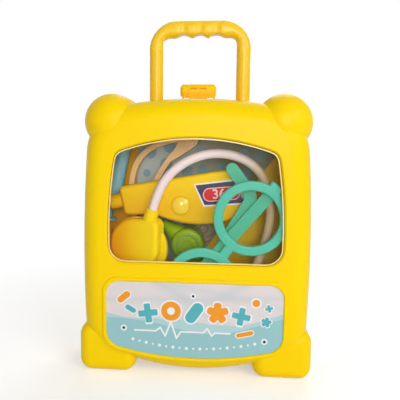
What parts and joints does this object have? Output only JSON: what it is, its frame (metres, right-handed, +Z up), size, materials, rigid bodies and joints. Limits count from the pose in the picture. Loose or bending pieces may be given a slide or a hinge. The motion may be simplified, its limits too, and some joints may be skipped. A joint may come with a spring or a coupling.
{
  "type": "toy doctor case",
  "caption": "Bear-eared clamshell toy case with pull-up handle, top latch, rear wheels and a window onto toy doctor's instruments.",
  "frame": {"origin": "on the ground under the middle of the case, at the parting plane of door and back shell", "axes": "+Z up, +Y from the window towards the wheels and the back, +X to the right seen from the window"},
  "size_m": [0.1888, 0.08, 0.2932],
  "materials": {
    "yellow_shell": "bright yellow moulded plastic, soft gloss",
    "latch_yellow": "deep yellow moulded plastic, glossy",
    "yellow_panel": "yellow moulded plastic, satin",
    "clear_pane": "clear thin plastic, glossy",
    "badge_print": "printed sticker with a gloss film, plain pattern",
    "pale_grey_plastic": "pale grey moulded plastic, satin",
    "screw_steel": "zinc-plated steel",
    "pin_steel": "plain drawn steel",
    "wheel_teal": "teal moulded plastic, satin",
    "bell_orange": "orange-yellow moulded plastic, soft gloss",
    "tube_white": "white soft vinyl, satin",
    "thermometer_yellow": "yellow moulded plastic, soft gloss",
    "display_print": "printed display sticker in dark purple",
    "mint_plastic": "mint green moulded plastic, soft gloss",
    "lime_plastic": "lime green moulded plastic, soft gloss",
    "syringe_blue": "light blue moulded plastic, soft gloss",
    "cream_plastic": "cream moulded plastic, soft gloss",
    "card_print": "printed card, blue-grey with darker dots"
  },
  "bodies": {
    "case_back": {"back_shell": "yellow_shell", "inner_panel": "yellow_panel", "panel_screws": "screw_steel", "hinge_pins": "pin_steel", "latch_pin": "pin_steel", "wheel_axles": "pin_steel", "stethoscope_chest_piece": "bell_orange", "stethoscope_diaphragm": "pale_grey_plastic", "stethoscope_tube": "tube_white", "stethoscope_headset": "tube_white", "stethoscope_ear_tips": "bell_orange", "thermometer_front": "thermometer_yellow", "thermometer_back": "thermometer_yellow", "thermometer_probe": "thermometer_yellow", "thermometer_display": "display_print", "glasses_frame": "mint_plastic", "glasses_temple_right": "mint_plastic", "glasses_temple_left": "mint_plastic", "glasses_hinge_pins": "pin_steel", "otoscope_body": "lime_plastic", "otoscope_cone": "lime_plastic", "syringe_barrel": "syringe_blue", "tweezers": "cream_plastic", "play_card": "card_print"},
    "door": {"front_shell": "yellow_shell", "window_pane": "clear_pane", "badge_plate": "badge_print"},
    "latch_lever": {"latch": "latch_yellow"},
    "pull_handle": {"handle": "yellow_shell", "handle_stops": "pale_grey_plastic", "handle_stop_screws": "screw_steel"},
    "left_wheel": {"wheel_left": "wheel_teal"},
    "right_wheel": {"wheel_right": "wheel_teal"},
    "button": {"thermometer_button": "thermometer_yellow"},
    "plunger": {"syringe_plunger": "syringe_blue"}
  },
  "joints": [
    {"name": "door_hinge", "type": "hinge", "parent": "case_back", "child": "door", "pos_m": [0, 0, 0.0039], "axis": [1, 0, 0], "range_deg": [0, 110]},
    {"name": "latch_pivot", "type": "hinge", "parent": "case_back", "child": "latch_lever", "pos_m": [0, 0.0066, 0.2293], "axis": [-1, 0, 0], "range_deg": [0, 90]},
    {"name": "handle_slide", "type": "slide", "parent": "case_back", "child": "pull_handle", "axis": [0, 0, 1], "range_m": [-0.042, 0]},
    {"name": "left_wheel_spin", "type": "hinge", "parent": "case_back", "child": "left_wheel", "pos_m": [-0.071, 0.0287, 0.0113], "axis": [1, 0, 0], "continuous": true},
    {"name": "right_wheel_spin", "type": "hinge", "parent": "case_back", "child": "right_wheel", "pos_m": [0.071, 0.0287, 0.0113], "axis": [1, 0, 0], "continuous": true},
    {"name": "button_press", "type": "slide", "parent": "case_back", "child": "button", "axis": [0, 1, 0], "range_m": [0, 0.0015], "stiffness_N_per_m": 400},
    {"name": "plunger_slide", "type": "slide", "parent": "case_back", "child": "plunger", "axis": [0.2079, 0, 0.9781], "range_m": [0, 0.016]}
  ]
}
